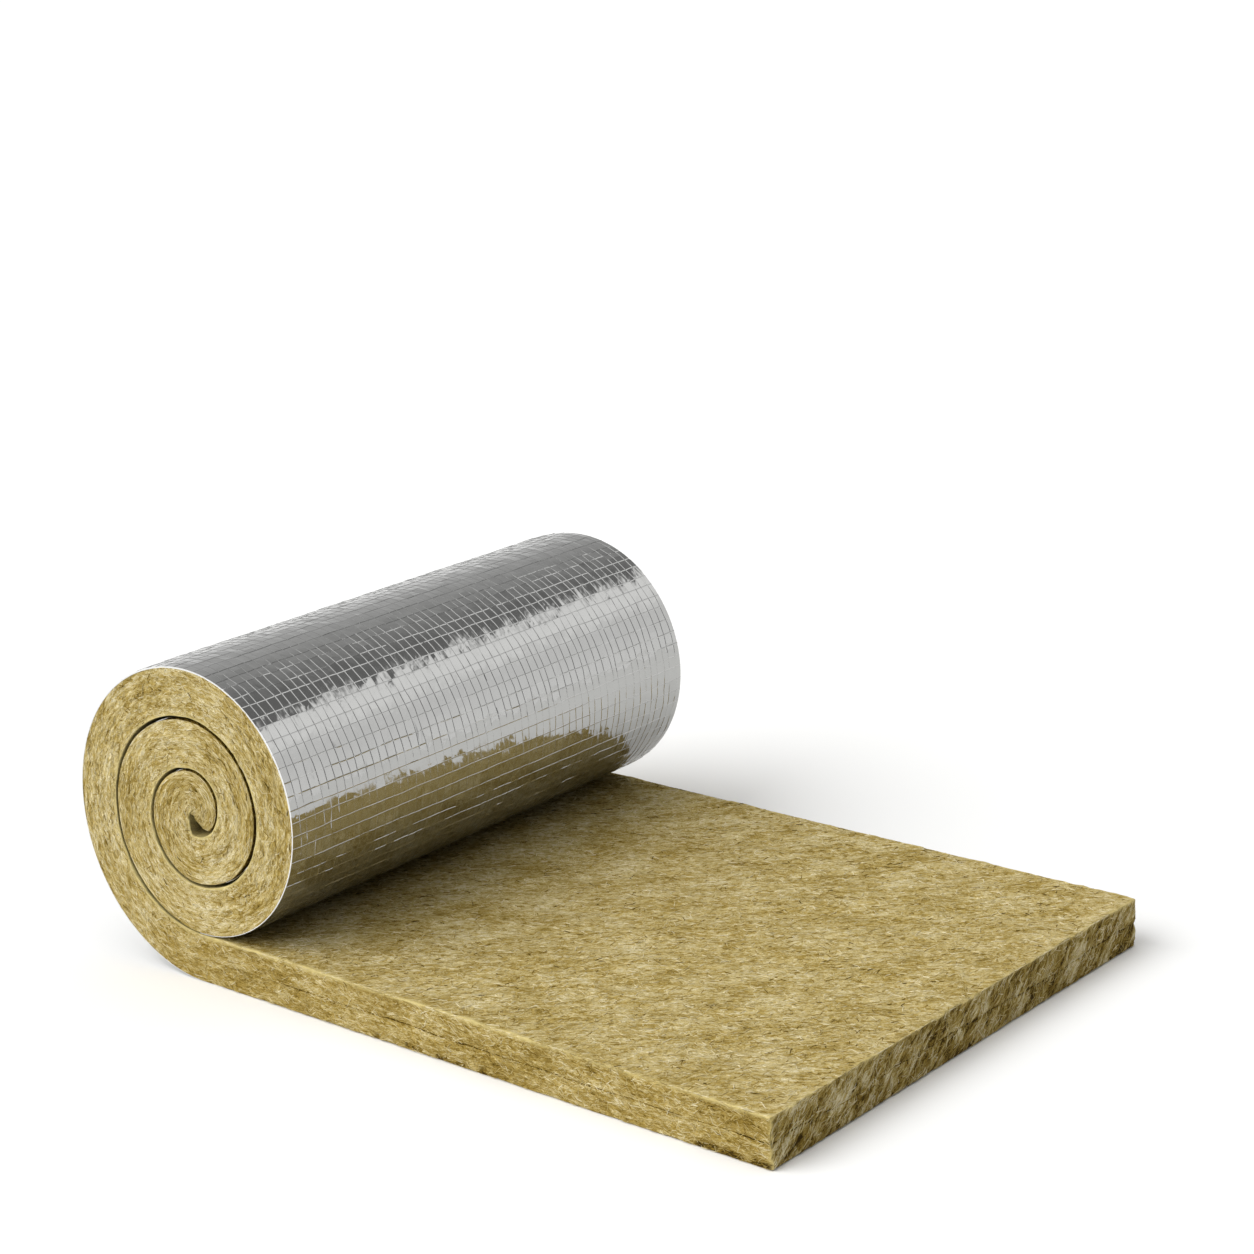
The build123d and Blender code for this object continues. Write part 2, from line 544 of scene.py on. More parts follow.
# The felt's own pattern, for the mat and for its loose strands: olive tan in soft clouds, with
# darker and paler streaks along the lay of the fibres, and shot-brown flecks.
felt = bpy.data.node_groups.new("felted_wool", "ShaderNodeTree")
for label, kind in (("Lay", "NodeSocketVector"), ("Tone", "NodeSocketFloat")):
    felt.interface.new_socket(label, in_out="INPUT", socket_type=kind)
for label, kind in (("Color", "NodeSocketColor"), ("Height", "NodeSocketFloat")):
    felt.interface.new_socket(label, in_out="OUTPUT", socket_type=kind)
felt_in, felt_out = felt.nodes.new("NodeGroupInput"), felt.nodes.new("NodeGroupOutput")
add = shader_tree(felt)
FACE_STEP, FIBRE_WIDTH = 17.0, 0.045
FLECK_COLOUR = (0.170, 0.106, 0.020, 1)
FELT_TINTS = (
    (0.00, (0.050, 0.030, 0.006)),
    (0.15, (0.195, 0.125, 0.021)),
    (0.38, (0.360, 0.258, 0.067)),
    (0.50, (0.475, 0.366, 0.138)),
    (0.62, (0.580, 0.475, 0.224)),
    (0.85, (0.765, 0.685, 0.450)),
)


def felt_noise(run, over, detail=3.0, roughness=0.55, distortion=0.0):
    """Noise with lumps of a run along the lay and a way over across it, in metres."""
    sizes = (1 / run, 1 / over, FACE_STEP)
    scaled = add("VectorMath", {0: felt_in.outputs["Lay"], 1: sizes}, operation="MULTIPLY").outputs[0]
    grain = {"Detail": detail, "Roughness": roughness, "Distortion": distortion}
    return add("TexNoise", {"Vector": scaled, "Scale": 1.0, **grain}).outputs[0]


def fibres(run, over):
    """Thin curling lines, where noise passes through its middle value: 1 on a line."""
    off_line = worked("ABSOLUTE", off_middle(felt_noise(run, over, detail=2.0, distortion=1.6)))
    return mapped(off_line, 0.0, FIBRE_WIDTH, 1.0, 0.0)


clouds = felt_noise(0.120, 0.070, detail=4.0)
streaks = felt_noise(0.030, 0.0100, detail=4.0, distortion=0.8)
threads = felt_noise(0.010, 0.0032, roughness=0.6, distortion=1.0)
pale_fibres, dark_fibres = fibres(0.022, 0.0085), fibres(0.017, 0.0074)
flecks = felt_noise(0.013, 0.0060, detail=2.0, distortion=0.6)
blotches = felt_noise(0.036, 0.0140, distortion=1.2)
layers = felt_noise(0.130, 0.0060, distortion=0.4)
cut_threads = felt_noise(0.021, 0.0034, roughness=0.6, distortion=0.8)
drags = felt_noise(0.060, 0.0200, distortion=1.0)
cut_face = worked("ABSOLUTE", add("SeparateXYZ", {0: felt_in.outputs["Lay"]}).outputs["Z"])
end_face = worked("SUBTRACT", cut_face, 1.0, use_clamp=True)
cut_marks = weigh(
    (off_middle(blotches), 0.22), (off_middle(layers), 0.42), (off_middle(cut_threads), 0.80),
    (off_middle(threads), -0.25), 0.0,
)
cut_marks = worked("MULTIPLY", cut_marks, cut_face)
drag_marks = worked("MULTIPLY", off_middle(drags), end_face)
tone = weigh(
    (clouds, 0.60), (streaks, 0.75), (threads, 0.75), (pale_fibres, 0.24), (dark_fibres, -0.18),
    (cut_marks, 1.0), (drag_marks, 3.0), (felt_in.outputs["Tone"], 1.0), -0.56,
)
tint = ramp(add("ValToRGB", {"Fac": tone}), FELT_TINTS)
fleck_mask = mapped(flecks, 0.66, 0.76, 0.0, 0.45)
# The noises that darken the felt also lower it, so its darker streaks, threads, cut marks and flecks lie in
# hollows: partly the fibres' own tone and partly painted shade.
felt_height = weigh(
    (streaks, 0.50), (threads, 0.42), (pale_fibres, 0.22), (dark_fibres, -0.16), (cut_marks, 0.80),
    (fleck_mask, -0.25), 0.0,
)
feed(felt, felt_out, {"Color": mixed(fleck_mask, tint, FLECK_COLOUR), "Height": felt_height})

# Painted highlight: the mat's edges are mixed towards a pale yellow, as though light caught them.
RIM_HIGHLIGHT_COLOUR, RIM_HIGHLIGHT_STRENGTH = (0.68, 0.565, 0.245, 1), 0.85
SEAM_TONE, WOOL_RELIEF = -0.36, 0.004
wool_finish, wool_shader, add = material("mineral_wool")
off_seam_line = worked("ABSOLUTE", worked("SUBTRACT", attribute("seam"), SEAM_MARK))
seam_mask = mapped(off_seam_line, 0.2, 1.0, 1.0, 0.0)
wool_tone = weigh((seam_mask, SEAM_TONE), attribute("tone"))
pattern = add("Group", {"Lay": attribute("lay", "Vector"), "Tone": wool_tone}, node_tree=felt)
rim_highlight_mask = worked("MULTIPLY", attribute("rim_highlight"), RIM_HIGHLIGHT_STRENGTH)
relief = add("Bump", {"Strength": 0.8, "Distance": WOOL_RELIEF, "Height": pattern.outputs["Height"]})
feed(wool_finish.node_tree, wool_shader, {
    "Base Color": mixed(rim_highlight_mask, pattern.outputs["Color"], RIM_HIGHLIGHT_COLOUR),
    "Normal": relief.outputs[0],
    "Roughness": 0.95,
    "Specular IOR Level": 0.05,
})
piece("wool_mat_dressed", wool_mesh, wool_finish, "mineral_wool", "wool_mat")

# Loose strands: tufts of fibre that lie on the cut and felted faces, as spindles that taper to points.
# They follow the lay of the face that they lie on, with their ends tucked into it.
STRAND_POINTS, STRAND_HEIGHT_SHARE = 8, 0.55
STRAND_TIPS = [(0, 2, 1), (0, 3, 2), (0, 1, 3), (7, 4, 5), (7, 5, 6), (7, 6, 4)]
STRAND_BANDS = [(1, 2, 5, 4), (2, 3, 6, 5), (3, 1, 4, 6)]
SPOT_SHARES = ((0.1, (0.5,)), (0.35, (0.1, 0.5, 0.9)), (0.65, (0.1, 0.5, 0.9)), (0.9, (0.5,)))


def strand_mesh(name, knots, outward, width, tone, lay):
    """Spindles through four points each, flat side down on a face with that outward direction."""
    count = len(knots)
    heading = knots[:, 3] - knots[:, 0]
    beside = np.cross(outward, heading)
    beside /= np.linalg.norm(beside, axis=1, keepdims=True)
    ring = np.stack([-beside / 2, beside / 2, outward * STRAND_HEIGHT_SHARE], 1) * width[:, None, None]
    points = np.concatenate([knots[:, :1], knots[:, 1:2] + ring, knots[:, 2:3] + ring, knots[:, 3:]], 1)
    starts = np.arange(count)[:, None, None] * STRAND_POINTS
    faces = (starts + np.array(STRAND_TIPS)).reshape(-1, 3).tolist()
    faces += (starts + np.array(STRAND_BANDS)).reshape(-1, 4).tolist()
    mesh = bpy.data.meshes.new(name)
    mesh.from_pydata(points.reshape(-1, 3).tolist(), [], faces)
    shade = mesh.attributes.new("tone", "FLOAT", "POINT")
    shade.data.foreach_set("value", np.repeat(tone, STRAND_POINTS).astype(np.float32))
    at = mesh.attributes.new("lay", "FLOAT_VECTOR", "POINT")
    at.data.foreach_set("vector", np.repeat(lay, STRAND_POINTS, axis=0).astype(np.float32).ravel())
    mesh.shade_smooth()
    side = math.ceil(math.sqrt(count))
    spot = np.array([(row, column) for row, columns in SPOT_SHARES for column in columns])
    cell = np.stack([np.arange(count) % side, np.arange(count) // side], -1)
    places = ((cell[:, None] + spot) / side).reshape(-1, 2)
    corners = np.zeros(len(mesh.loops), np.int32)
    mesh.loops.foreach_get("vertex_index", corners)
    mesh.uv_layers.new(name="OFBake").uv.foreach_set("vector", places[corners].astype(np.float32).ravel())
    return mesh


def gathered(bundles):
    """Bundles of strands as one: their knots, outward directions, widths, tones and lays."""
    return [np.concatenate(lists) for lists in zip(*bundles)]


KNOT_SHARES = np.array([-0.5, -0.18, 0.18, 0.5])
BOW_SHARE, WAVE_SHARE, LIFT_SHARES = 0.16, 0.07, (-0.1, 0.5)


def laid_strands(random, centre, first, second, spread, length, heights, sink, curl=1.0):
    """Four mat places for each strand about its centre, on the face that two directions span."""
    count = len(centre)
    turn = random.normal(0, spread, count)
    run = np.cos(turn)[:, None] * first + np.sin(turn)[:, None] * second
    side = np.cos(turn)[:, None] * second - np.sin(turn)[:, None] * first
    bow = random.normal(0, BOW_SHARE, count) * length * curl
    wave = random.normal(0, WAVE_SHARE, count) * length * curl
    share = KNOT_SHARES[None, :, None]
    sideways = bow[:, None, None] * (1 - 4 * share**2) + wave[:, None, None] * np.sign(share)
    knots = centre[:, None] + run[:, None] * share * length[:, None, None] + side[:, None] * sideways
    tips = np.full(count, -sink)
    middles = [random.uniform(*LIFT_SHARES, count) * sink for _ in range(2)]
    return knots, heights(knots) + np.stack([tips, *middles, tips], 1)


LENGTH_SPREAD = 0.4
DARK_TONE, PALE_TONE = (-0.22, 0.06), (0.14, 0.08)


def strand_lengths(random, count, usual, least, most):
    """Lengths about a usual one, with a few long strands."""
    return np.clip(usual * random.lognormal(0, LENGTH_SPREAD, count), least, most)


def strand_tones(random, count, dark_share):
    """Most strands are paler than the felt, and a few are dark."""
    dark = random.uniform(0, 1, count) < dark_share
    return np.where(dark, random.normal(*DARK_TONE, count), random.normal(*PALE_TONE, count))


# Bare face strands: single fibres that have come up out of the tail's bare face. They lie along its
# slantwise streaks, and one in four is dark.
BARE_STRANDS, BARE_SPREAD, BARE_SINK, DARK_ON_BARE = 15800, 0.65, 0.0008, 0.24
BARE_LENGTHS, BARE_WIDTHS = (0.015, 0.006, 0.036), (0.0006, 0.0017)
EDGE_CLEARANCE, FOOT_CLEARANCE, KNOT_CLEARANCE = 0.004, 0.02, 0.002
random = np.random.default_rng(71)
centre = np.stack([
    random.uniform(EDGE_CLEARANCE, TAIL_LENGTH - FOOT_CLEARANCE, BARE_STRANDS),
    random.uniform(EDGE_CLEARANCE - HALF_WIDTH, HALF_WIDTH - EDGE_CLEARANCE, BARE_STRANDS),
    np.full(BARE_STRANDS, MAT_THICKNESS),
], -1)
lengths = strand_lengths(random, BARE_STRANDS, *BARE_LENGTHS)
slant = np.array([-math.cos(STREAK_ANGLE), math.sin(STREAK_ANGLE), 0])
against = np.array([math.sin(STREAK_ANGLE), math.cos(STREAK_ANGLE), 0])
knots, lift = laid_strands(random, centre, slant, against, BARE_SPREAD, lengths, bare_heights, BARE_SINK)
knots[..., 0] = np.clip(knots[..., 0], KNOT_CLEARANCE, TAIL_LENGTH)
knots[..., 1] = np.clip(knots[..., 1], KNOT_CLEARANCE - HALF_WIDTH, HALF_WIDTH - KNOT_CLEARANCE)
knots[..., 2] = MAT_THICKNESS + lift
bare_mesh = strand_mesh(
    "bare_face_strands", mat_point(knots), np.tile([0.0, 0.0, 1.0], (BARE_STRANDS, 1)),
    random.uniform(*BARE_WIDTHS, BARE_STRANDS), strand_tones(random, BARE_STRANDS, DARK_ON_BARE),
    bare_lay(centre)[:, :3],
)
piece("bare_face_strands", bare_mesh, wool_finish, "mineral_wool")

# Cut face strands: fibres that the knife pulled out of both sides and of the free end. On the sides
# they lie along the felted layers, fainter on the tail, and on the end they climb with the cut.
NEAR_STRANDS, FAR_STRANDS, END_STRANDS, DARK_ON_CUT = 8600, 5000, 2400, 0.10
SIDE_SPREAD, SIDE_SINK, TAIL_STRANDS_FADE = 0.40, 0.0007, 0.65
END_SPREAD, END_SINK, END_STRANDS_FADE = 0.5, 0.0008, 0.35
SIDE_LENGTHS, END_LENGTHS, CUT_WIDTHS = (0.015, 0.006, 0.032), (0.017, 0.007, 0.035), (0.0006, 0.0016)
CORNER_CLEARANCE, FOIL_CLEARANCE = 0.003, 0.0015
STRAND_DEPTHS = (FOIL_THICKNESS + KNOT_CLEARANCE, MAT_THICKNESS - CORNER_CLEARANCE)
KNOT_DEPTHS = (FOIL_THICKNESS + FOIL_CLEARANCE, MAT_THICKNESS - KNOT_CLEARANCE)
lengthwise, upward = np.array([1.0, 0, 0]), np.array([0, 0, 1.0])
bundles = []
for side, count in ((-1, NEAR_STRANDS), (1, FAR_STRANDS)):
    centre = np.stack([
        random.uniform(EDGE_CLEARANCE, MAT_LENGTH - EDGE_CLEARANCE, count),
        np.full(count, side * HALF_WIDTH),
        random.uniform(*STRAND_DEPTHS, count),
    ], -1)
    lengths = strand_lengths(random, count, *SIDE_LENGTHS)
    knots, lift = laid_strands(
        random, centre, lengthwise, upward, SIDE_SPREAD, lengths, side_heights, SIDE_SINK
    )
    knots[..., 0] = np.clip(knots[..., 0], KNOT_CLEARANCE, MAT_LENGTH)
    knots[..., 2] = np.clip(knots[..., 2], *KNOT_DEPTHS)
    knots[..., 1] = side * (HALF_WIDTH + lift)
    outward = np.tile([0.0, side, 0.0], (count, 1))
    widths = random.uniform(*CUT_WIDTHS, count)
    faint = 1 - TAIL_STRANDS_FADE * (1 - wound_share(centre[:, 0]))
    tones = strand_tones(random, count, DARK_ON_CUT) * faint
    bundles.append((mat_point(knots), outward, widths, tones, side_lay(centre)[:, :3]))
centre = np.stack([
    np.zeros(END_STRANDS),
    random.uniform(CORNER_CLEARANCE - HALF_WIDTH, HALF_WIDTH - CORNER_CLEARANCE, END_STRANDS),
    random.uniform(*STRAND_DEPTHS, END_STRANDS),
], -1)
lengths = strand_lengths(random, END_STRANDS, *END_LENGTHS)
climb = np.array([0, math.cos(END_STREAK_ANGLE), math.sin(END_STREAK_ANGLE)])
lean = np.array([0, -math.sin(END_STREAK_ANGLE), math.cos(END_STREAK_ANGLE)])
knots, lift = laid_strands(random, centre, climb, lean, END_SPREAD, lengths, end_heights, END_SINK)
knots[..., 1] = np.clip(knots[..., 1], KNOT_CLEARANCE - HALF_WIDTH, HALF_WIDTH - KNOT_CLEARANCE)
knots[..., 2] = np.clip(knots[..., 2], *KNOT_DEPTHS)
knots[..., 0] = -lift
outward = np.tile([1.0, 0.0, 0.0], (END_STRANDS, 1))
widths = random.uniform(*CUT_WIDTHS, END_STRANDS)
tones = strand_tones(random, END_STRANDS, DARK_ON_CUT) * (1 - END_STRANDS_FADE)
bundles.append((mat_point(knots), outward, widths, tones, end_lay(centre)[:, :3]))
cut_mesh = strand_mesh("cut_face_strands", *gathered(bundles))
piece("cut_face_strands", cut_mesh, wool_finish, "mineral_wool")

# Edge strands: pale fibres along the tail's top edges, where the cut runs through the felt's skin.
# They lie lengthwise on the rounded edge, nearly straight.
EDGE_STRANDS, END_EDGE_STRANDS, EDGE_SINK = 1000, 800, 0.0012
EDGE_SPREAD, EDGE_CURL, EDGE_TUCK, EDGE_SPOT_SHARES = 0.05, 0.12, 0.0006, (0.002, 0.998)
EDGE_LENGTHS, EDGE_WIDTHS, EDGE_TONE = (0.014, 0.006, 0.030), (0.0006, 0.0014), (0.14, 0.06)
EDGE_KNOT_CLEARANCE = 0.001
BEVEL = math.sqrt(0.5)
bundles = []
for side, count in ((-1, EDGE_STRANDS), (1, EDGE_STRANDS), (0, END_EDGE_STRANDS)):
    spot = random.uniform(*EDGE_SPOT_SHARES, count)
    if side:
        along, across = spot * TAIL_LENGTH, np.full(count, side * (HALF_WIDTH - EDGE_SINK))
        first, proud = np.array([1.0, 0, 0]), np.array([0, side * BEVEL, BEVEL])
    else:
        along, across = np.full(count, EDGE_SINK), (spot - 0.5) * MAT_WIDTH
        first, proud = np.array([0, 1.0, 0]), np.array([-BEVEL, 0, BEVEL])
    centre = np.stack([along, across, np.full(count, MAT_THICKNESS - EDGE_SINK)], -1)
    lengths = strand_lengths(random, count, *EDGE_LENGTHS)
    knots, lift = laid_strands(
        random, centre, first, proud * [-1, -1, 1], EDGE_SPREAD, lengths, lambda knots: 0 * knots[..., 0],
        EDGE_TUCK, EDGE_CURL,
    )
    knots = knots + lift[..., None] * proud
    knots[..., 0] = np.maximum(knots[..., 0], EDGE_KNOT_CLEARANCE)
    knots[..., 1] = np.clip(knots[..., 1], EDGE_KNOT_CLEARANCE - HALF_WIDTH, HALF_WIDTH - EDGE_KNOT_CLEARANCE)
    outward = np.tile(proud * [-1, 1, 1], (count, 1))
    widths, tones = random.uniform(*EDGE_WIDTHS, count), random.normal(*EDGE_TONE, count)
    bundles.append((mat_point(knots), outward, widths, tones, bare_lay(centre)[:, :3]))
edge_mesh = strand_mesh("edge_strands", *gathered(bundles))
piece("edge_strands", edge_mesh, wool_finish, "mineral_wool")

# Foil facing: aluminium foil over a net of glass threads, glued to the wool's outer face. The threads
# stand up under the foil as fine ridges, and its cut edges are turned a little over the wool's sides.
THREAD_STEP_ALONG, THREAD_STEP_ACROSS = 0.0228, 0.0180
THREAD_HALF_WIDTH, THREAD_HEIGHT = 0.0010, 0.00056
THREAD_JITTER_SHARE, THREAD_DRAWS, END_SPACE_SHARE = 0.12, 4000, 0.2
foil_lengths = TAIL_LENGTH + np.concatenate([[0.0], np.cumsum(turn_radii[:-1])]) * math.pi
FOIL_LENGTH = foil_lengths[-1] + TONGUE_SWEEP * turn_radii[-1]
foil_knots = np.concatenate([[0.0], foil_lengths, [FOIL_LENGTH]])
mat_knots = np.concatenate([[0.0], turn_starts, [MAT_LENGTH]])


def thread_lines(start, end, step, lean, middles, seed):
    """Lines over a stretch of net: two feet and a leaning crown for each thread, and a line between."""
    least, most = math.ceil(start / step + END_SPACE_SHARE), math.floor(end / step - END_SPACE_SHARE)
    numbers = np.arange(least, most + 1)
    jitter = np.random.default_rng(seed).uniform(-THREAD_JITTER_SHARE, THREAD_JITTER_SHARE, THREAD_DRAWS)
    crowns = step * (numbers + jitter[numbers % THREAD_DRAWS])
    feet = crowns[:, None] + THREAD_HALF_WIDTH * np.array([-1, lean, 1])
    lines, raised = feet.ravel(), np.tile([0.0, 1.0, 0.0], len(numbers))
    if middles:
        between = (crowns[1:] + crowns[:-1]) / 2
        lines, raised = np.append(lines, between), np.append(raised, 0 * between)
    order = np.argsort(lines)
    return np.concatenate([[start], lines[order], [end]]), np.concatenate([[0.0], raised[order], [0.0]])


WEFT_SHARE, WEFT_LEAN, UNEVEN_WEFT = 0.75, -0.35, (0.6, 0.024, THREAD_STEP_ALONG / 3.7, 55)
WARP_SHARE, UNEVEN_WARP = 0.78, (0.5, 0.021, THREAD_STEP_ACROSS / 3.7, 56)
WARP_SWAY, WEFT_DRIFT = (0.0017, 0.034, 1 / 5.3, 51), (0.0010, 0.050, 1 / 5.7, 52)
CELL_SLACK, WIDE_SLACK = (0.00075, 0.016, 0.013, 53), (0.0003, 0.07, 0.09, 54)
SLACK_LIFT, HELD_REACH, SAG_SHARE = 0.0007, 0.01, 1 / 3
TAIL_SETBACK, SETBACK_REACH = 0.004, 0.08


def net_grid(rows, columns):
    """A grid of foil: the ridges of the net, wandering threads, and foil that is not quite flat."""
    (row_at, row_up), (column_at, column_up) = rows, columns
    length, across = np.meshgrid(row_at, column_at, indexing="ij")
    inner = ease(HALF_WIDTH - np.abs(across), 0.0, HELD_REACH)
    weft = row_up[:, None] * WEFT_SHARE * (1 + swells(across, length, *UNEVEN_WEFT))
    warp = column_up[None, :] * WARP_SHARE * (1 + swells(length, across, *UNEVEN_WARP))
    up = np.maximum(weft, warp)
    sway = swells(length, np.round(across / THREAD_STEP_ACROSS), *WARP_SWAY) * inner
    drift = swells(across, np.round(length / THREAD_STEP_ALONG), *WEFT_DRIFT)
    drift = drift * ease(length - row_at[0], 0, HELD_REACH) * ease(row_at[-1] - length, 0, HELD_REACH)
    slack = swells(length, across, *CELL_SLACK) + swells(length, across, *WIDE_SLACK)
    depth = np.minimum(-THREAD_HEIGHT * up - (slack + SLACK_LIFT) * inner, FOIL_THICKNESS * SAG_SHARE)
    set_back = TAIL_SETBACK / HALF_WIDTH * (1 - ease(length, TAIL_LENGTH - SETBACK_REACH, TAIL_LENGTH))
    across = (across + sway) * (1 - set_back)
    return np.stack([np.interp(length + drift, foil_knots, mat_knots), across, depth], -1), up


def foil_lay(place):
    """Length along the foil and way across it."""
    length = np.interp(place[..., 0], mat_knots, foil_knots)
    return np.stack([length, place[..., 1], 0 * length, 0 * length, 0 * length], -1)


def lip_lay(place):
    """The same on a turned edge, where tone 1 marks the cut foil, which the finish paints brighter as a
    highlight.
    """
    lay = foil_lay(place)
    lay[..., 3] = 1
    return lay


LIP_PROUD, LIP_DEPTH, HEM_SHARE, HIDDEN_LIP_SHARE = 0.0008, 0.0026, 1 / 4, 0.35
LIP_START_REACH, LIP_END_REACH = 0.15, 0.35


def lip_share(along):
    """How far the cut edge is turned over: fully round the roll's rims, and hardly elsewhere."""
    begun = ease(along, TAIL_LENGTH, TAIL_LENGTH + LIP_START_REACH)
    shown = begun * (1 - ease(along, INNER_START - LIP_END_REACH, INNER_START))
    return HIDDEN_LIP_SHARE + (1 - HIDDEN_LIP_SHARE) * shown


def turned_edge(edge):
    """A strip from an edge of the foil, over the cut edge of the wool and back under the foil."""
    share = lip_share(edge[:, 0])
    side = np.sign(edge[:, 1])
    hem = share * HEM_SHARE
    face = 0 * share
    back = np.maximum(FOIL_THICKNESS, LIP_DEPTH * share)
    lines = [edge]
    for proud, depth in ((share, face), (share, back), (hem, back), (hem, face + FOIL_THICKNESS)):
        lines.append(np.stack([edge[:, 0], edge[:, 1] + side * LIP_PROUD * proud, depth], -1))
    return np.stack(lines, 1)


def foil_stretch(outer, up):
    """The faces of a stretch of foil from its outer grid: the face, both turned edges and the back."""

    def net_lay(place):
        """The foil's lay with the height of the net, which rubs the foil dull on its crowns."""
        lay = foil_lay(place)
        lay[..., 4] = up
        return lay

    near, far = turned_edge(outer[:, 0]), turned_edge(outer[:, -1])
    back = np.stack([near[:, -1], far[:, -1]], 1)
    sides = [quads(near, lip_lay), quads(far, lip_lay, turned=True), quads(back, foil_lay)]
    return [quads(outer, net_lay, turned=True)] + sides


def foil_join(before, after):
    """The faces between two stretches whose outer grids have different columns."""
    edges = np.stack([before[-1][[0, -1]], after[0][[0, -1]]])
    return [zipped(before[-1], after[0], foil_lay, turned=True)] + foil_stretch(edges, 0.0)[1:]


def foil_cut(row, turned):
    """The cut face of the foil at one of its two ends."""
    near, far = turned_edge(row[:1])[0], turned_edge(row[-1:])[0]
    ring = np.concatenate([near[::-1], row[1:-1], far])
    face = np.concatenate([ring, foil_lay(ring)], -1)[None]
    return [face[:, ::-1] if turned else face]


HIDDEN_SETBACK, HIDDEN_COLUMNS, HIDDEN_ROWS = 0.012, 9, 125
WARP_SEED, WEFT_SEED, JOIN_GAP = 61, 62, 0.004
WRAP_START, WRAP_END = TAIL_LENGTH - JOIN_GAP, foil_lengths[2] + JOIN_GAP
net_columns = thread_lines(-HALF_WIDTH, HALF_WIDTH, THREAD_STEP_ACROSS, 0.0, True, WARP_SEED)
plain_net_columns = thread_lines(-HALF_WIDTH, HALF_WIDTH, THREAD_STEP_ACROSS, 0.0, False, WARP_SEED)
hidden_columns = np.linspace(HIDDEN_SETBACK - HALF_WIDTH, HALF_WIDTH - HIDDEN_SETBACK, HIDDEN_COLUMNS)
wrap_rows = thread_lines(WRAP_START, WRAP_END, THREAD_STEP_ALONG, WEFT_LEAN, True, WEFT_SEED)
under_rows = thread_lines(
    TAIL_SETBACK, WRAP_START - JOIN_GAP, THREAD_STEP_ALONG, WEFT_LEAN, False, WEFT_SEED
)
hidden_rows = np.linspace(WRAP_END + 2 * JOIN_GAP, FOIL_LENGTH, HIDDEN_ROWS)
wrap, wrap_up = net_grid(wrap_rows, net_columns)
underside, under_up = net_grid(under_rows, plain_net_columns)
hidden, hidden_up = net_grid((hidden_rows, 0 * hidden_rows), (hidden_columns, 0 * hidden_columns))
foil_patches = (
    foil_stretch(underside, under_up) + foil_stretch(wrap, wrap_up) + foil_stretch(hidden, hidden_up)
    + foil_join(underside, wrap) + foil_join(wrap, hidden)
    + foil_cut(underside[0], turned=False) + foil_cut(hidden[-1], turned=True)
)


def pressed_flat(place):
    """Foil places with all that stands proud of the roll pressed back to it."""
    along, across, depth = ways(place)
    return np.stack([along, across, np.maximum(depth, 0)], -1)


def corner_normals(mesh):
    """The normals at the corners of all the faces of a mesh."""
    normals = np.zeros(3 * len(mesh.loops), np.float32)
    mesh.corner_normals.foreach_get("vector", normals)
    return normals.reshape(-1, 3)


SHARP_ANGLE = math.radians(7)
EVEN_SHARE, FACING_SHARE, PROBE = 0.6, 0.98, 0.001
foil_mesh = sewn_mesh("foil_facing_skin", foil_patches, lambda place: place)
foil_mesh.set_sharp_from_angle(angle=SHARP_ANGLE)
plain_mesh = sewn_mesh("foil_without_net", foil_patches, pressed_flat)
sharp = np.zeros(len(foil_mesh.edges), bool)
foil_mesh.attributes["sharp_edge"].data.foreach_get("value", sharp)
plain_mesh.attributes.new("sharp_edge", "BOOLEAN", "EDGE").data.foreach_set("value", sharp)

# Between two threads the foil turns evenly with the roll, so its shading doesn't go face by face.
corner_places = pressed_flat(all_corners(foil_patches)[:, :3])
outward = mat_point(corner_places) - mat_point(corner_places + [0, 0, PROBE])
outward /= np.linalg.norm(outward, axis=1, keepdims=True)
normals, plain_normals = corner_normals(foil_mesh), corner_normals(plain_mesh)
on_face = (plain_normals * outward).sum(1) > FACING_SHARE
normals[on_face] += EVEN_SHARE * (outward - plain_normals)[on_face]
foil_mesh.normals_split_custom_set((normals / np.linalg.norm(normals, axis=1, keepdims=True)).tolist())
bpy.data.meshes.remove(plain_mesh)

# Its finish is bright metal in fine crinkles, pulled along the threads and a little dull on their
# crowns. On the foil's mesh, tone marks the cut edges, painted a brighter metal as a highlight, and
# seam holds the height of the net.
FOIL_COLOUR, CUT_FOIL_HIGHLIGHT_COLOUR = (0.42, 0.42, 0.41, 1), (0.85, 0.85, 0.84, 1)
FOIL_HAZE, CROWN_HAZE, CRINKLE_DEPTH = (0.06, 0.16), 0.15, 0.0005
CRINKLE_SCALE, PULL_SCALES, HAZE_SCALE = 60.0, (38.0, 100.0, 1.0), 28.0
foil_finish, foil_shader, add = material("reinforced_foil")
lay = attribute("lay", "Vector")
crinkle = add("TexNoise", {"Vector": lay, "Scale": CRINKLE_SCALE, "Detail": 0.0, "Distortion": 1.2})
streaked = add("VectorMath", {0: lay, 1: PULL_SCALES}, operation="MULTIPLY").outputs[0]
pulls = add("TexNoise", {"Vector": streaked, "Scale": 1.0, "Detail": 0.0, "Distortion": 0.6})
dull = add("TexNoise", {"Vector": lay, "Scale": HAZE_SCALE, "Detail": 4.0, "Roughness": 0.6})
haze = mapped(dull.outputs[0], 0.3, 0.7, *FOIL_HAZE)
crinkle_height = weigh((crinkle.outputs[0], 0.6), (pulls.outputs[0], 0.7), 0.0)
relief = add("Bump", {"Strength": 1.0, "Distance": CRINKLE_DEPTH, "Height": crinkle_height})
feed(foil_finish.node_tree, foil_shader, {
    "Base Color": mixed(attribute("tone"), FOIL_COLOUR, CUT_FOIL_HIGHLIGHT_COLOUR),
    "Metallic": 1.0,
    "Roughness": weigh((attribute("seam"), CROWN_HAZE), haze),
    "Normal": relief.outputs[0],
})
piece("foil_facing_dressed", foil_mesh, foil_finish, "reinforced_foil", "foil_facing")

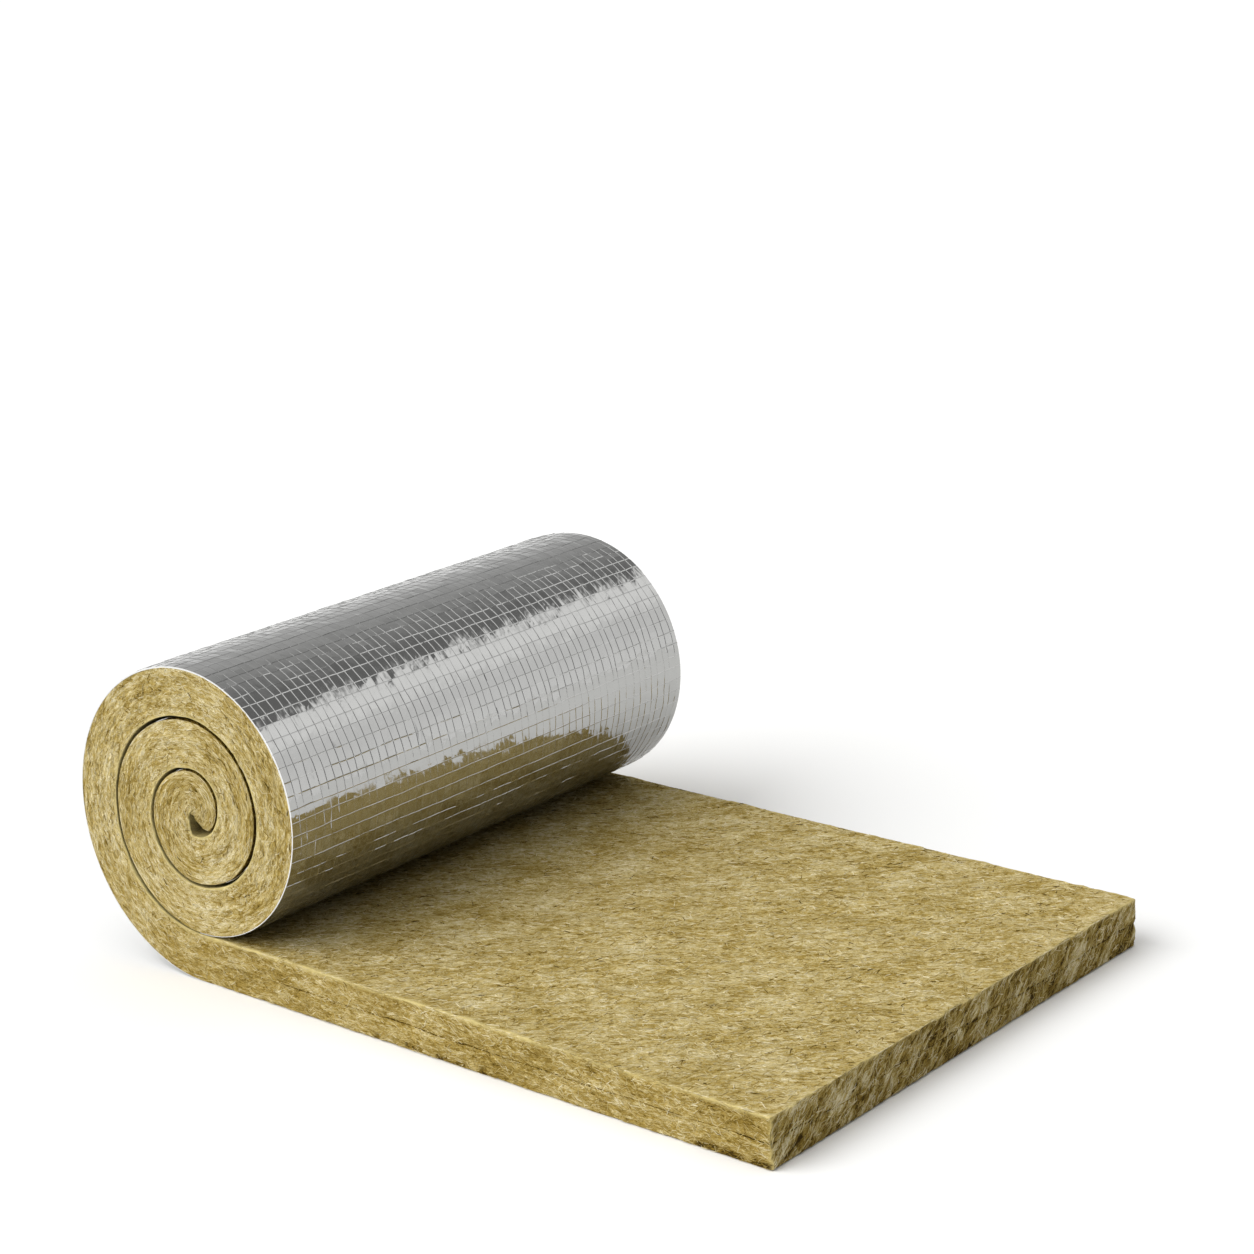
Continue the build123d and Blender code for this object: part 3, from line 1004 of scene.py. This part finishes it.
# Studio: a plain pale floor, soft light and the camera at the photograph's angle.
FLOOR_REACH, FLOOR_DROP, FLOOR_COLOUR = 40.0, 0.0005, (0.92, 0.92, 0.91, 1)
floor_mesh = bpy.data.meshes.new("studio_floor")
floor_corners = [(x * FLOOR_REACH, y * FLOOR_REACH, 0) for x, y in ((-1, -1), (1, -1), (1, 1), (-1, 1))]
floor_mesh.from_pydata(floor_corners, [], [(0, 1, 2, 3)])
floor = bpy.data.objects.new("studio_floor", floor_mesh)
bpy.context.scene.collection.objects.link(floor)
floor.location.z = cad_low.z - FLOOR_DROP
floor_finish, floor_shader, add = material("studio_floor")
feed(floor_finish.node_tree, floor_shader, {"Base Color": FLOOR_COLOUR, "Roughness": 0.9})
floor_mesh.materials.append(floor_finish)

world = bpy.data.worlds.new("studio")
world.use_nodes = True
add = shader_tree(world.node_tree)
way = add("TexCoord").outputs["Generated"]
way_parts = add("SeparateXYZ", {0: way}).outputs
KEY_WAY = Vector((-0.42, -0.68, 0.60)).normalized()
PANEL_WAY = Vector((0.55, 0.55, -0.63)).normalized()
OVERHEAD_WAY = Vector((0.20, -0.10, 0.97)).normalized()
DARK_ROOM = 0.25


def eased(value, *stops):
    """A value that eases between two numbers as another does between two others."""
    return mapped(value, *stops, interpolation_type="SMOOTHSTEP")


def towards(direction):
    """The cosine of the angle off a direction."""
    return add("VectorMath", {0: way, 1: tuple(direction)}, operation="DOT_PRODUCT").outputs["Value"]


# The foil shows a bright panel beyond the roll, folded, with a pale horizon over it, a soft light
# overhead and a dim room. Matt faces see an even soft sky in place of all these.
panel = eased(towards(PANEL_WAY), 0.05, 0.15, 0.0, 1.12)
panel_fold = eased(towards(PANEL_WAY), 0.24, 0.50, 0.0, -0.41)
panel_slope = mapped(towards(PANEL_WAY), 0.2, 0.9, 0.0, 0.34)
panel = worked("ADD", worked("ADD", panel, panel_fold), panel_slope)
horizon = mapped(way_parts["Z"], 0.02, 0.66, 0.76, 0.0)
backdrop = eased(way_parts["Y"], 0.30, 0.60, 0.0, 1.0)
overhead = eased(towards(OVERHEAD_WAY), 0.78, 0.95, 0.0, 1.22)
rear = mapped(way_parts["X"], -0.65, 0.05, 0.66, 0.25)
glow = worked("MULTIPLY_ADD", worked("MAXIMUM", panel, horizon), backdrop, DARK_ROOM)
glow = worked("MAXIMUM", worked("MAXIMUM", glow, overhead), rear)
soft_sky = mapped(way_parts["Z"], 0.12, 0.95, 0.0, 0.50)
on_matt = worked("MINIMUM", add("LightPath").outputs["Diffuse Depth"], 1.0)
glow = add("Mix", {0: on_matt, 2: glow, 3: soft_sky}, data_type="FLOAT").outputs[0]
feed(world.node_tree, world.node_tree.nodes["Background"], {"Color": glow, "Strength": 1.0})
bpy.context.scene.world = world


def soft_light(name, direction, spread, strength):
    """A far soft light from one direction, even over the whole floor, that doesn't show in the foil."""
    lamp = bpy.data.lights.new(name, "SUN")
    lamp.angle = math.radians(spread)
    lamp.energy = strength
    made = bpy.data.objects.new(name, lamp)
    bpy.context.scene.collection.objects.link(made)
    made.rotation_euler = Vector(direction).to_track_quat("Z", "Y").to_euler()
    made.visible_glossy = False


soft_light("key_light", KEY_WAY, spread=60, strength=3.10)
soft_light("top_light", (0.0, 0.0, 1.0), spread=90, strength=0.9)

CAMERA_AZIMUTH, CAMERA_RISE, CAMERA_TILT = (math.radians(v) for v in (38.803, 16.536, -1.5275))
CAMERA_DISTANCE = 4.5954
CAMERA_AIM = Vector((FOOT_X + 0.48398, 0.02793, 0.55726))
CAMERA_LENS, CAMERA_SENSOR, CAMERA_REACH = 81.207, 36.0, 200.0
camera_data = bpy.data.cameras.new("camera")
camera_data.lens = CAMERA_LENS
camera_data.sensor_width = CAMERA_SENSOR
camera_data.clip_end = CAMERA_REACH
camera = bpy.data.objects.new("camera", camera_data)
bpy.context.scene.collection.objects.link(camera)
back = Vector((
    math.sin(CAMERA_AZIMUTH) * math.cos(CAMERA_RISE),
    -math.cos(CAMERA_AZIMUTH) * math.cos(CAMERA_RISE),
    math.sin(CAMERA_RISE),
))
upright = (-back).to_track_quat("-Z", "Y").to_matrix()
camera.matrix_world = Matrix.Translation(CAMERA_AIM + back * CAMERA_DISTANCE) @ (
    upright @ Matrix.Rotation(CAMERA_TILT, 3, "Z")
).to_4x4()
bpy.context.scene.camera = camera
bpy.context.scene.view_settings.view_transform = "Standard"
